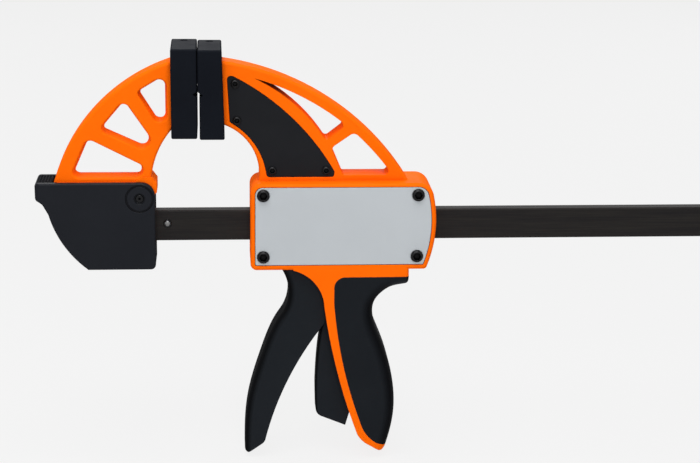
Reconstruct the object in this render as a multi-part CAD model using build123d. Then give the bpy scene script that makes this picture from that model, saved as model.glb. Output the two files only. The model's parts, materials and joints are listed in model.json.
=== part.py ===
from build123d import *
import math
import os

# Quick release bar clamp, in millimetres.
# X runs along the bar from the fixed jaw to its free end, Y runs across the clamp with
# the front at -Y, and Z is up. The origin is the centre of the fixed pad's clamping face.
# Every outline is drawn in the XZ plane and given its thickness across Y.

# ---------------------------------------------------------------- driving dimensions
# steel bar
BAR_HEIGHT = 20.0
BAR_THICKNESS = 8.0
BAR_EDGE = 0.7
THROAT_DEPTH = 78.5            # pad centre down to the top of the bar
BAR_LEFT = -78.0
OPENING = 180.0                # travel of the moving jaw
BAR_FIT = 0.2                  # clearance round the bar, each side

# stop pins, hollow and rolled from spring steel
STOP_PIN_RADIUS = 2.5
STOP_PIN_WALL = 0.9
STOP_PIN_PROUD = 0.8
STOP_PIN_SLIT = 0.9
STOP_PIN_FROM_END = 58.2
STOP_PIN_BELOW_TOP = 8.6
STOP_PIN_GAP = 0.5             # body to end stop pin at full opening

# jaw pads
PAD_HEIGHT = 56.6
PAD_WIDTH = 37.4
FIXED_PAD_THICKNESS = 16.2
MOVING_PAD_THICKNESS = 15.0
PAD_EDGE = 1.1
PAD_GROOVE_DEPTH = 2.8
PAD_GROOVE_HEIGHT = 3.8
PAD_GAP = 0.3                  # closed jaws, above the grooves
PAD_SET_BACK = 1.15            # moving pad's face below its groove
PAD_LEAN = 1.75                # how far the back of the moving pad leans
MOVING_PAD_DROP = 0.6
PAD_DIMPLE_RADIUS = 2.5
PAD_DIMPLE_DEPTH = 0.5
HEAD_DEPTH = 7.0               # how far a jaw's head reaches into its pad
HEAD_HALF_WIDTH = 5.5
HEAD_FIT = 0.15
HEAD_TOP = 18.9                # top of both arms, where they meet the pads

# arms
ARM_HALF_WIDTH = 8.0
ARM_EDGE = 1.8
FIXED_ARM_RADIUS = 115.3
FIXED_ARM_INSET = 12.1         # arm behind the end of the thumb tab
FIXED_THROAT_RADIUS = 57.0
MOVING_ARM_RADIUS = 167.0
MOVING_ARM_INSET = 18.3        # arm before the far end of the body
MOVING_THROAT_RADIUS = 34.0
MOVING_RIM = 6.7               # outer rim of the moving arm, beside its windows
FIXED_WINDOW_DRAFT = 11.0      # degrees, both ways from the middle of the arm
FIXED_WINDOW_EDGE = 1.0
MOVING_WINDOW_DRAFT = 2.5

# body of the moving jaw
BODY_LEFT = 33.0
BODY_LENGTH = 118.9
BODY_ABOVE_BAR = 20.3
BODY_BELOW_BAR = 17.0
BODY_HALF_WIDTH = 16.6
BODY_BULGE_RADIUS = 83.5
BODY_BULGE_RISE = 2.35         # middle of the rounded end above the middle of the body
BODY_EDGE = 2.2
BODY_CORNERS = (7.0, 10.0, 2.5, 4.0)       # top left, top right, bottom right, bottom left
WALL_LEFT = 6.0
WALL_TOP = 5.3
WALL_RIGHT = 8.9
WALL_BOTTOM = 6.5
RAIL_INNER = 11.7              # rails along the cavity hold the pivot pins
RAIL_CLEARANCE = 0.35

# side plates and their screws
PLATE_INSETS = (3.0, 2.3, 3.2, 3.6)        # left, top, far end, bottom
PLATE_CORNERS = (5.0, 7.0, 1.0, 1.0)
PLATE_THICKNESS = 2.0
PLATE_GAP = 0.25
SCREW_INSETS = (8.1, 12.2, 7.4, 9.2)       # left, far end, top, bottom
SCREW_HEAD_RADIUS = 4.05
SCREW_HEAD_HEIGHT = 1.8
SCREW_RADIUS = 2.0
SCREW_LENGTH = 11.0
SCREW_SOCKET = 2.35
SCREW_BOSS = 3.2               # wall round a screw
SCREW_FIT = 0.08

# black arm plates and their screws
ARM_PLATE_THICKNESS = 1.4
ARM_PLATE_SUNK = 0.15
ARM_SCREW_HEAD_RADIUS = 2.7
ARM_SCREW_HEAD_HEIGHT = 1.2
ARM_SCREW_RADIUS = 1.5
ARM_SCREW_LENGTH = 5.0
ARM_SCREW_SOCKET = 1.55

# trigger
PIVOT_ABOVE_BAR = 8.0
PIVOT_PIN_RADIUS = 2.5
PIVOT_FIT = 0.06
TRIGGER_INSET = 19.0           # pivot behind the near end of the body
TRIGGER_HALF_WIDTH = 11.2
TRIGGER_WEB = 4.5
TRIGGER_WALL = 2.8
TRIGGER_EDGE = 5.0
TRIGGER_TOE = (-3.8, -130.3)   # from the lower near corner of the body
TRIGGER_TIP = 2.0              # radius at the toe
EYE_RADIUS = 5.5
NOSE_RADIUS = 3.0
NOSE_AHEAD = 5.0               # nose of the trigger, measured from its pivot
NOSE_BELOW_BAR = 8.0

# drive plates, brake plate and springs
DRIVE_PLATE_THICKNESS = 3.2
DRIVE_PLATE_HALF_WIDTH = 10.0
DRIVE_PLATE_ABOVE = 6.0        # steel above and below the bar
DRIVE_PLATE_BELOW = 9.0
DRIVE_GAP = 0.3                # nose to first plate
RIB_INSET = 65.0
RIB_THICKNESS = 3.0
SPRING_WIRE = 0.75
SPRING_FIT = 0.38              # inside of a spring to the bar's corners
SPRING_TURNS = 5
SPRING_SEAT = 0.1
BRAKE_THICKNESS = 4.0
BRAKE_HALF_WIDTH = 7.0
BRAKE_BELOW_BAR = 8.0
BRAKE_TILT = 4.5               # degrees, the travel of the release lever
BRAKE_SLACK = 0.12

# release lever
RELEASE_INSET = 77.0
RELEASE_HALF_WIDTH = 6.8
RELEASE_EDGE = 1.6
RELEASE_TOE = 6.0
RELEASE_ARM_GAP = 0.2

# grip
CHANNEL_HALF_WIDTH = 11.7
CORE_HALF_WIDTH = 13.8
FLANGE_DEPTH = 4.9
FLANGE_END = 101.9             # along the body
SOFT_THICKNESS = 4.0
CORE_THICKNESS = 4.5
GRIP_ROUNDING = 8.5
GRIP_CORNER = 7.0
GRIP_BEAK = 2.5
GRIP_TOE = (86.7, -127.6)      # from the lower near corner of the body
GRIP_TOE_CORNER = 3.0
GRIP_ROOT = 2.5                # how far the handle's outline reaches up into the body
CHANNEL_DEPTH = 116.0          # below the body

# lock lever on the fixed jaw
LOCK_LENGTH = 75.2
LOCK_HEIGHT = 57.2
LOCK_RIGHT = -27.3
LOCK_HALF_WIDTH = 12.5
LOCK_WALL = 3.0
LOCK_SHELL = 2.6
LOCK_EDGE = 1.0
LOCK_TAB_CORNER = 3.5
LOCK_PIVOT_INSETS = (9.6, 10.2)            # from the right end and the top
LOCK_PIN_RADIUS = 2.6
LOCK_BOSS_RADIUS = 7.8
LOCK_GROOVE = 1.3
LOCK_GROOVE_DEPTH = 1.0
LOCK_COUNTERBORE = 1.0
LOCK_PIN_SUNK = 0.5
THUMB_WIDTH = 9.6
THUMB_RIDGES = 5
THUMB_RIDGE_HEIGHT = 1.25
THUMB_SUNK = 1.2
LOCK_SPRING_WIRE = 0.5
LOCK_SPRING_RADIUS = 4.6
LOCK_SPRING_TURNS = 2
FOOT_HALF_WIDTH = 9.0
FOOT_BELOW_BAR = 7.0
SHOULDER = 1.3                 # orange shoulder beyond the lock lever
HEEL_INSET = 2.2               # foot below the shoulder, inside the lock lever
NOTCH_INSET = 12.0             # from the end of the bar
NOTCH_DEPTH = 2.3
NOTCH_LENGTH = 4.0
NOTCH_SLOPE = 35.0
TOOTH_GAP = 0.4
TOOTH_HALF_WIDTH = 3.6

# ---------------------------------------------------------------- sizes worked out
BAR_TOP = -THROAT_DEPTH
BAR_BOTTOM = BAR_TOP - BAR_HEIGHT
BAR_MIDDLE = BAR_TOP - BAR_HEIGHT / 2
BODY_TOP = BAR_TOP + BODY_ABOVE_BAR
BODY_BOTTOM = BAR_BOTTOM - BODY_BELOW_BAR
BODY_RIGHT = BODY_LEFT + BODY_LENGTH
ARM_DROP = -BODY_TOP           # pad centre down to the body
PIVOT_Z = BAR_TOP + PIVOT_ABOVE_BAR
TRIGGER_X = BODY_LEFT + TRIGGER_INSET
RELEASE_X = BODY_LEFT + RELEASE_INSET
RIB_X = BODY_LEFT + RIB_INSET
STOP_PIN_Z = BAR_TOP - STOP_PIN_BELOW_TOP
LEFT_PIN_X = BAR_LEFT + STOP_PIN_FROM_END
RIGHT_PIN_X = BODY_RIGHT + OPENING + STOP_PIN_RADIUS + STOP_PIN_GAP
BAR_RIGHT = RIGHT_PIN_X + STOP_PIN_FROM_END
CAVITY_LEFT = BODY_LEFT + WALL_LEFT
CAVITY_RIGHT = BODY_RIGHT - WALL_RIGHT
CAVITY_TOP = BODY_TOP - WALL_TOP
CAVITY_BOTTOM = BODY_BOTTOM + WALL_BOTTOM
FLANGE_BOTTOM = BODY_BOTTOM - FLANGE_DEPTH
RECESS_FLOOR = BODY_HALF_WIDTH - PLATE_THICKNESS
SEAT_FLOOR = ARM_HALF_WIDTH - ARM_PLATE_THICKNESS - ARM_PLATE_SUNK
SPRING_RADIUS = math.hypot(BAR_HEIGHT, BAR_THICKNESS) / 2 + SPRING_FIT + SPRING_WIRE
RAIL_BOTTOM = BAR_MIDDLE + SPRING_RADIUS + SPRING_WIRE + RAIL_CLEARANCE
NOSE_X = TRIGGER_X + NOSE_AHEAD
NOSE_Z = BAR_BOTTOM - NOSE_BELOW_BAR
FIRST_PLATE_X = NOSE_X + NOSE_RADIUS + DRIVE_GAP
SECOND_PLATE_X = FIRST_PLATE_X + DRIVE_PLATE_THICKNESS
NOTCH_X = BAR_LEFT + NOTCH_INSET
LOCK_LEFT = LOCK_RIGHT - LOCK_LENGTH
LOCK_TOP = BODY_TOP
LOCK_BOTTOM = LOCK_TOP - LOCK_HEIGHT
LOCK_X = LOCK_RIGHT - LOCK_PIVOT_INSETS[0]
LOCK_Z = LOCK_TOP - LOCK_PIVOT_INSETS[1]
FOOT_BOTTOM = BAR_BOTTOM - FOOT_BELOW_BAR

# Outlines that hang below the body are drawn from its lower near corner.
BELOW = Pos(BODY_LEFT, BODY_BOTTOM)


# ---------------------------------------------------------------- drawing helpers
def slab(face, first, second):
    """Solid of an XZ outline between two places across Y, in either order."""
    low, high = min(first, second), max(first, second)
    return extrude(Plane.XZ.offset(-high) * face, amount=high - low)


def wide(face, half_width):
    """Solid of an XZ outline, centred on the clamp."""
    return slab(face, -half_width, half_width)


def region(*edges):
    """Closed outline of edges given in order."""
    return make_face(edges)


def straight(*points):
    """Straight-sided outline."""
    return make_face(Polyline(*points, close=True))


def rounded(points, radii):
    """Straight-sided outline with a radius at each corner."""
    return make_face(FilletPolyline(*points, radius=radii, close=True).edges())


def box_face(left, right, bottom, top):
    """Rectangle given by its four sides."""
    middle = ((left + right) / 2, (bottom + top) / 2)
    return Pos(*middle) * Rectangle(right - left, top - bottom)


def disc(x, z, radius):
    """Round outline."""
    return Pos(x, z) * Circle(radius)


def across(x, z, radius, first, second):
    """Round rod or hole that runs across the clamp."""
    return slab(disc(x, z, radius), first, second)


def round_corners(face, corners):
    """Outline with a radius put on some of its corners, given as (x, z, radius)."""
    for x, z, radius in corners:
        corner = face.vertices().sort_by_distance((x, z))[0]
        face = fillet(corner, radius)
    return face


def corner_piece(face, x, z, radius):
    """What rounding one corner takes away from an outline."""
    return face - round_corners(face, [(x, z, radius)])


def arc_centre(start, end, radius):
    """Centre of an arc between two points, on the right of the way from start to end."""
    run, rise = end[0] - start[0], end[1] - start[1]
    chord = math.hypot(run, rise)
    back = math.sqrt(radius ** 2 - chord ** 2 / 4)
    middle_x, middle_z = (start[0] + end[0]) / 2, (start[1] + end[1]) / 2
    return middle_x + rise / chord * back, middle_z - run / chord * back


def edges_near(solid, y_places, keep):
    """Edges of a solid that lie in one of the given planes across Y and pass a test."""
    picked = []
    for edge in solid.edges():
        box = edge.bounding_box()
        flat = box.max.Y - box.min.Y < 0.01
        if flat and any(abs(box.min.Y - y) < 0.01 for y in y_places) and keep(edge.center()):
            picked.append(edge)
    return picked


def crosswise_edge(solid, x, z):
    """The edge straight across the clamp that is nearest to a place."""
    return solid.edges().filter_by(Axis.Y).sort_by_distance((x, 0, z))[0]


def wire_along(path, radius):
    """Spring wire along a path, with eight flats round its section."""
    section = Plane(path @ 0, z_dir=path % 0) * RegularPolygon(radius, 8)
    return sweep(section, path, is_frenet=True)


# ---------------------------------------------------------------- bar and its pins
def notch_outline(gap):
    """Ratchet notch in the underside of the bar: upright on the left, sloping on the right."""
    top = BAR_BOTTOM + NOTCH_DEPTH - gap
    left = NOTCH_X + gap
    right = NOTCH_X + NOTCH_LENGTH - gap
    run = (NOTCH_DEPTH + 1.0) / math.tan(math.radians(NOTCH_SLOPE))
    low = BAR_BOTTOM - 1.0 - gap
    return straight((left, top), (right, top), (right + run, low), (left, low))


def bar():
    """Flat steel bar with a notch and a pin hole near each end."""
    half = BAR_THICKNESS / 2
    blank = wide(box_face(BAR_LEFT, BAR_RIGHT, BAR_BOTTOM, BAR_TOP), half)
    blank = chamfer(blank.edges().filter_by(Axis.X), BAR_EDGE)
    blank = chamfer(blank.edges().filter_by(Axis.Y), BAR_EDGE)
    cut = wide(notch_outline(0), BAR_THICKNESS) + across(
        LEFT_PIN_X, STOP_PIN_Z, STOP_PIN_RADIUS + SCREW_FIT, -half, half)
    blank -= cut
    return blank - mirror(cut, Plane.YZ.offset((BAR_LEFT + BAR_RIGHT) / 2))


def stop_pin(x):
    """Hollow rolled pin with a slit, a little proud of both sides of the bar."""
    half = BAR_THICKNESS / 2 + STOP_PIN_PROUD
    pin = across(x, STOP_PIN_Z, STOP_PIN_RADIUS, -half, half)
    pin = chamfer(edges_near(pin, (-half, half), lambda c: True), STOP_PIN_WALL * 0.4)
    pin -= across(x, STOP_PIN_Z, STOP_PIN_RADIUS - STOP_PIN_WALL, -half, half)
    slit = box_face(x - STOP_PIN_RADIUS - 1, x, STOP_PIN_Z - STOP_PIN_SLIT / 2,
                    STOP_PIN_Z + STOP_PIN_SLIT / 2)
    return pin - wide(slit, half)


# ---------------------------------------------------------------- pads
def moving_back(z):
    """Back face of the moving pad at a height; it leans."""
    below_top = PAD_HEIGHT / 2 - MOVING_PAD_DROP - z
    return PAD_GAP + MOVING_PAD_THICKNESS + PAD_LEAN * below_top / PAD_HEIGHT


def pad(outline, middle, top):
    """Jaw pad: a block with rounded edges and a moulding dimple in its top."""
    block = wide(outline, PAD_WIDTH / 2)
    block = fillet(block.edges(), PAD_EDGE)
    dimple = Cylinder(PAD_DIMPLE_RADIUS, PAD_DIMPLE_DEPTH * 2)
    return block - Pos(middle, PAD_WIDTH * 0.35, top) * dimple


def groove(x, z, side):
    """V groove across a clamping face, for holding a round bar."""
    half = PAD_GROOVE_HEIGHT / 2
    return wide(straight(
        (x + side, z + half * 1.4), (x, z + half), (x - side * PAD_GROOVE_DEPTH, z),
        (x, z - half), (x + side, z - half * 1.4)), PAD_WIDTH)


def fixed_head(fit):
    """Head of the fixed jaw inside its pad."""
    back = -FIXED_PAD_THICKNESS
    high = HEAD_TOP - 4 + fit
    return wide(box_face(back - 1, back + HEAD_DEPTH + fit, -high - 4, high), HEAD_HALF_WIDTH + fit)


def moving_head(fit):
    """Head of the moving jaw inside its pad."""
    top = HEAD_TOP - 5 + fit
    bottom = -top - 3
    depth = HEAD_DEPTH + fit
    return wide(straight(
        (moving_back(top) - depth, top), (moving_back(top) + 1, top),
        (moving_back(bottom) + 1, bottom), (moving_back(bottom) - depth, bottom)),
        HEAD_HALF_WIDTH + fit)


def fixed_pad():
    """Pad of the fixed jaw; its clamping face is at X = 0."""
    half = PAD_HEIGHT / 2
    outline = box_face(-FIXED_PAD_THICKNESS, 0, -half, half)
    solid = pad(outline, -FIXED_PAD_THICKNESS / 2, half)
    return solid - groove(0, 0, 1) - fixed_head(HEAD_FIT)


def moving_pad():
    """Pad of the moving jaw, set back below its groove so that the upper halves meet first."""
    middle = -MOVING_PAD_DROP
    top = middle + PAD_HEIGHT / 2
    bottom = middle - PAD_HEIGHT / 2
    low_face = PAD_GAP + PAD_SET_BACK
    outline = straight(
        (PAD_GAP, top), (moving_back(top), top), (moving_back(bottom), bottom), (low_face, bottom),
        (low_face, middle - PAD_SET_BACK / 2), (PAD_GAP, middle + PAD_SET_BACK / 2))
    solid = pad(outline, PAD_GAP + MOVING_PAD_THICKNESS / 2, top)
    return solid - groove(PAD_GAP + PAD_SET_BACK / 2, middle, -1) - moving_head(HEAD_FIT)


# ---------------------------------------------------------------- arms
def drop(x, share):
    """Point on an arm, its height given as a share of the way down to the body."""
    return x, -share * ARM_DROP


def fixed_windows():
    """Three windows between the spokes, as they are at the middle of the arm's thickness."""
    return [
        rounded([drop(-78.5, 0.935), drop(-25.1, 0.935), drop(-68.7, 0.548)], [2.6, 3.4, 3.2]),
        rounded([drop(-59.9, 0.421), drop(-23.3, 0.711), drop(-45.8, 0.134)], [2.4, 4.2, 2.8]),
        rounded([drop(-36.1, 0.019), drop(-20.1, 0.462), drop(-20.1, -0.149)], [1.8, 3.4, 3.5]),
    ]


def moving_arm_centre():
    """Centre of the moving arm's outer curve."""
    start = (moving_back(HEAD_TOP), HEAD_TOP)
    return arc_centre(start, (BODY_RIGHT - MOVING_ARM_INSET, BODY_TOP), MOVING_ARM_RADIUS)


def moving_windows():
    """Two windows between the arm plate and the outer rim."""
    inside = disc(*moving_arm_centre(), MOVING_ARM_RADIUS - MOVING_RIM)
    upper = region(
        Line(drop(30.0, -0.344), drop(32.6, -0.170)),
        ThreePointArc(drop(32.6, -0.170), drop(61.3, 0.148), drop(81.0, 0.546)),
        Line(drop(81.0, 0.546), drop(100.0, 0.294)),
        Line(drop(100.0, 0.294), drop(60.0, -0.344)),
        Line(drop(60.0, -0.344), drop(30.0, -0.344)))
    lower = straight(drop(84.8, 0.634), drop(108.0, 0.354), drop(140.0, 0.935), drop(92.2, 0.935))
    upper = round_corners((upper & inside).faces()[0], [
        (*drop(81.0, 0.546), 2.0), (*drop(93.5, 0.380), 3.0)])
    lower = round_corners((lower & inside).faces()[0], [
        (*drop(84.8, 0.634), 2.8), (*drop(99.0, 0.462), 3.4),
        (*drop(123.2, 0.935), 2.2), (*drop(92.2, 0.935), 1.0)])
    return [upper, lower]


def pierced(arm, windows, draft):
    """Arm with windows cut through it, drafted both ways from the middle."""
    for window in windows:
        for side in (-1, 1):
            arm -= extrude(Plane.XZ * window, amount=side * (ARM_HALF_WIDTH + 0.01), taper=-draft)
    return arm


def arm_blank(web, keep):
    """Arm cut from a web outline, with its outer rim rounded."""
    arm = wide(web, ARM_HALF_WIDTH)
    return fillet(edges_near(arm, (-ARM_HALF_WIDTH, ARM_HALF_WIDTH), keep), ARM_EDGE)


def window_lips(arm):
    """Edges round the windows, on both sides of an arm."""
    lips = []
    for face in arm.faces().filter_by(Axis.Y):
        if abs(abs(face.center().Y) - ARM_HALF_WIDTH) < 0.1:
            for wire in face.inner_wires():
                lips.extend(wire.edges())
    return lips


def fixed_arm():
    """Spoked arm from the foot up to the pad."""
    back = -FIXED_PAD_THICKNESS
    outer = arc_centre((LOCK_LEFT + FIXED_ARM_INSET, LOCK_TOP), (back, HEAD_TOP), FIXED_ARM_RADIUS)
    inner = arc_centre(drop(-29.1, 0.926), drop(back, 0.426), FIXED_THROAT_RADIUS)
    web = disc(*outer, FIXED_ARM_RADIUS) - disc(*inner, FIXED_THROAT_RADIUS)
    web &= box_face(LOCK_LEFT, back, LOCK_TOP - 0.5, HEAD_TOP + 5)
    arm = arm_blank(web, lambda c: c.X < back - 1 and c.Z > LOCK_TOP + 1)
    arm = pierced(arm, fixed_windows(), FIXED_WINDOW_DRAFT)
    return fillet(window_lips(arm), FIXED_WINDOW_EDGE)


def moving_arm():
    """Arm from the pad down to the body, with two windows under its outer rim."""
    outer = moving_arm_centre()
    inner = arc_centre(drop(17.6, 0.383), drop(38.7, 0.893), MOVING_THROAT_RADIUS)
    web = disc(*outer, MOVING_ARM_RADIUS) - disc(*inner, MOVING_THROAT_RADIUS)
    low = BODY_TOP - 1
    high = HEAD_TOP + 10
    far = BODY_RIGHT - WALL_RIGHT
    web &= straight((moving_back(high), high), (far, high), (far, low), (moving_back(low), low))
    arm = arm_blank(web, lambda c: c.X > moving_back(0) + 2 and c.Z > BODY_TOP)
    return pierced(arm, moving_windows(), MOVING_WINDOW_DRAFT)


# ---------------------------------------------------------------- fixed jaw and lock lever
def fixed_jaw():
    """Moulded fixed jaw: spoked arm, foot round the bar, and a head for the pad."""
    heel = LOCK_RIGHT - HEEL_INSET
    shoulder = LOCK_RIGHT + SHOULDER
    left = LOCK_LEFT + FIXED_ARM_INSET + 1.9
    foot = straight(
        (left, LOCK_TOP - 0.3), (LOCK_X - 3, LOCK_TOP - 0.3), (LOCK_X + 1, LOCK_TOP + 3),
        (shoulder - 3, LOCK_TOP + 3), (shoulder, LOCK_TOP - 1), (shoulder, LOCK_TOP - 7),
        (heel, LOCK_TOP - 10), (heel, FOOT_BOTTOM), (BAR_LEFT + 2, FOOT_BOTTOM),
        (left + 4.5, BAR_BOTTOM + 3.5), (left, BAR_BOTTOM + 14.5))
    solid = fixed_arm() + wide(foot, FOOT_HALF_WIDTH) + fixed_head(0)

    pocket = box_face(BAR_LEFT - BAR_FIT, 0, BAR_BOTTOM - BAR_FIT, BAR_TOP + BAR_FIT)
    solid -= wide(pocket, BAR_THICKNESS / 2 + BAR_FIT)
    tooth_way = box_face(NOTCH_X - 3, NOTCH_X + NOTCH_LENGTH + 8, FOOT_BOTTOM - 1, BAR_BOTTOM)
    solid -= wide(tooth_way, TOOTH_HALF_WIDTH + 1)
    solid -= across(LOCK_X, LOCK_Z, LOCK_PIN_RADIUS + PIVOT_FIT, -FOOT_HALF_WIDTH, FOOT_HALF_WIDTH)
    spring_room = LOCK_SPRING_RADIUS + LOCK_SPRING_WIRE + 1.3
    return solid - across(LOCK_X, LOCK_Z, spring_room, BAR_THICKNESS / 2 + 0.4, FOOT_HALF_WIDTH)


def lock_outline():
    """Side of the lock lever: thumb tab at the left, rounded belly, flat floor."""
    def at(along, down):
        return LOCK_LEFT + along, LOCK_TOP - down

    face = region(
        Line(at(0, 0), at(0, 10.6)),
        Line(at(0, 10.6), at(4.6, 13.8)),
        Line(at(4.6, 13.8), at(8.2, 20.5)),
        ThreePointArc(at(8.2, 20.5), at(16.2, 39.2), at(32.3, LOCK_HEIGHT)),
        Line(at(32.3, LOCK_HEIGHT), at(LOCK_LENGTH, LOCK_HEIGHT)),
        Line(at(LOCK_LENGTH, LOCK_HEIGHT), at(LOCK_LENGTH, 0)),
        Line(at(LOCK_LENGTH, 0), at(0, 0)))
    return round_corners(face, [
        (*at(0, 0), 2.5), (*at(0, 10.6), 2.5), (*at(4.6, 13.8), 5.0),
        (*at(LOCK_LENGTH, LOCK_HEIGHT), 3.3), (*at(LOCK_LENGTH, 0), 8.5)])


def thumb_ridges():
    """Saw-tooth ridges across the thumb tab."""
    pitch = (THUMB_WIDTH - 0.4) / THUMB_RIDGES
    low = LOCK_TOP - THUMB_SUNK + 0.1
    left = LOCK_LEFT + LOCK_SHELL * 0.6
    points = [(left, low - 0.5)]
    for tooth in range(THUMB_RIDGES):
        points.append((left + tooth * pitch, low))
        points.append((left + (tooth + 0.5) * pitch, low + THUMB_RIDGE_HEIGHT))
    points.append((left + THUMB_RIDGES * pitch, low))
    points.append((left + THUMB_RIDGES * pitch, low - 0.5))
    return wide(straight(*points), LOCK_HALF_WIDTH - LOCK_WALL)


def lock_blank():
    """Outside of the lock lever, its thumb tab rounded in plan as well."""
    rim = (-LOCK_HALF_WIDTH, LOCK_HALF_WIDTH)
    solid = wide(lock_outline(), LOCK_HALF_WIDTH)
    solid = fillet(edges_near(solid, rim, lambda c: True), LOCK_EDGE)
    middle = (LOCK_LEFT + LOCK_RIGHT) / 2
    plan = Pos(middle, 0) * RectangleRounded(LOCK_LENGTH, LOCK_HALF_WIDTH * 2, LOCK_TAB_CORNER)
    plan += Pos(LOCK_X, 0) * Rectangle(LOCK_PIVOT_INSETS[0] * 2, LOCK_HALF_WIDTH * 2)
    return solid & extrude(Plane.XY.offset(LOCK_BOTTOM) * plan, amount=LOCK_HEIGHT)


def lock_lever():
    """U-shaped lever round the jaw's foot, with thumb tab, tooth and pivot bosses."""
    inside = LOCK_HALF_WIDTH - LOCK_WALL
    inner = offset(lock_outline(), -LOCK_SHELL)
    inner += box_face(LOCK_LEFT + 33, LOCK_RIGHT + 5, LOCK_BOTTOM + LOCK_SHELL, LOCK_TOP + 5)
    inner += box_face(LOCK_LEFT + THUMB_WIDTH, LOCK_RIGHT + 5, LOCK_TOP - 12, LOCK_TOP + 5)
    inner += box_face(LOCK_LEFT + LOCK_SHELL * 0.6, LOCK_LEFT + 20, LOCK_TOP - THUMB_SUNK, LOCK_TOP + 5)
    solid = lock_blank() - wide(inner, inside) + thumb_ridges()

    stem = box_face(NOTCH_X + TOOTH_GAP, NOTCH_X + NOTCH_LENGTH + 4, LOCK_BOTTOM + 1,
                    BAR_BOTTOM - 1.0 - TOOTH_GAP)
    solid += wide(notch_outline(TOOTH_GAP), TOOTH_HALF_WIDTH) + wide(stem, TOOTH_HALF_WIDTH)

    ring = disc(LOCK_X, LOCK_Z, LOCK_BOSS_RADIUS + LOCK_GROOVE) - disc(
        LOCK_X, LOCK_Z, LOCK_BOSS_RADIUS)
    recess = disc(LOCK_X, LOCK_Z, LOCK_PIN_RADIUS + LOCK_COUNTERBORE)
    for side in (-1, 1):
        for sunk in (ring, recess):
            solid -= slab(sunk, side * (LOCK_HALF_WIDTH - LOCK_GROOVE_DEPTH), side * LOCK_HALF_WIDTH)
    solid -= across(LOCK_X, LOCK_Z, LOCK_PIN_RADIUS + PIVOT_FIT, -LOCK_HALF_WIDTH, LOCK_HALF_WIDTH)
    leg_hole = LOCK_SPRING_WIRE + 0.6
    return solid - across(LOCK_X - LOCK_SPRING_RADIUS, LOCK_Z, leg_hole, inside - 0.1, inside + 2)


def lock_pin():
    """Pivot of the lock lever, with a small turning centre in each end."""
    half = LOCK_HALF_WIDTH - LOCK_PIN_SUNK
    pin = across(LOCK_X, LOCK_Z, LOCK_PIN_RADIUS, -half, half)
    pin = fillet(edges_near(pin, (-half, half), lambda c: True), 0.5)
    for side in (-1, 1):
        pin -= Pos(LOCK_X, side * half, LOCK_Z) * Sphere(0.8)
    return pin


def lock_spring():
    """Torsion spring round the lock pin, with one leg in the lever."""
    height = LOCK_SPRING_TURNS * LOCK_SPRING_WIRE * 2.5
    low = BAR_THICKNESS / 2 + 0.5 + LOCK_SPRING_WIRE
    path = Helix(height / LOCK_SPRING_TURNS, height, LOCK_SPRING_RADIUS)
    coil = Pos(LOCK_X, low + height, LOCK_Z) * Rot(90, 0, 0) * wire_along(path, LOCK_SPRING_WIRE)
    leg = across(LOCK_X - LOCK_SPRING_RADIUS, LOCK_Z, LOCK_SPRING_WIRE * 0.9, low + height,
                 LOCK_HALF_WIDTH - LOCK_WALL + 1.7)
    return coil, leg


# ---------------------------------------------------------------- body of the moving jaw
def body_outline(insets=(0, 0, 0, 0), corners=BODY_CORNERS):
    """Side of the body, or of something let into it: insets are left, top, far end, bottom."""
    left, top, bulge, bottom = insets
    radius = BODY_BULGE_RADIUS - bulge
    centre_x = BODY_RIGHT - BODY_BULGE_RADIUS
    centre_z = (BODY_TOP + BODY_BOTTOM) / 2 + BODY_BULGE_RISE
    start, high, low = BODY_LEFT + left, BODY_TOP - top, BODY_BOTTOM + bottom
    high_x = centre_x + math.sqrt(radius ** 2 - (high - centre_z) ** 2)
    low_x = centre_x + math.sqrt(radius ** 2 - (low - centre_z) ** 2)
    face = region(
        Line((start, high), (high_x, high)),
        ThreePointArc((high_x, high), (centre_x + radius, centre_z), (low_x, low)),
        Line((low_x, low), (start, low)),
        Line((start, low), (start, high)))
    places = ((start, high), (high_x, high), (low_x, low), (start, low))
    return round_corners(face, [(*place, size) for place, size in zip(places, corners)])


def screw_places():
    """Centres of the four side plate screws."""
    left, far, top, bottom = SCREW_INSETS
    return [(x, z) for x in (BODY_LEFT + left, BODY_RIGHT - far)
            for z in (BODY_TOP - top, BODY_BOTTOM + bottom)]


def arm_screw_places():
    """Centres of the four arm plate screws."""
    return [drop(23.6, -0.079), drop(24.7, 0.325), drop(47.0, 0.885), drop(81.3, 0.885)]


def arm_plate_outline(grow=0.0):
    """Black plate on the side of the moving arm."""
    corners = (drop(18.7, -0.168), drop(22.4, -0.160), drop(86.4, 0.897), drop(86.0, 0.954),
               drop(43.6, 0.954), drop(20.4, 0.342))
    top_left, top, right, low_right, low_left, throat = corners
    face = region(
        Line(top_left, top),
        ThreePointArc(top, drop(55.6, 0.237), right),
        Line(right, low_right),
        Line(low_right, low_left),
        ThreePointArc(low_left, drop(35.3, 0.570), throat),
        Line(throat, top_left))
    radii = (2.2, 1.5, 2.0, 1.2, 2.2, 2.2)
    face = round_corners(face, [(*corner, radius) for corner, radius in zip(corners, radii)])
    return offset(face, grow) if grow else face


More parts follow.
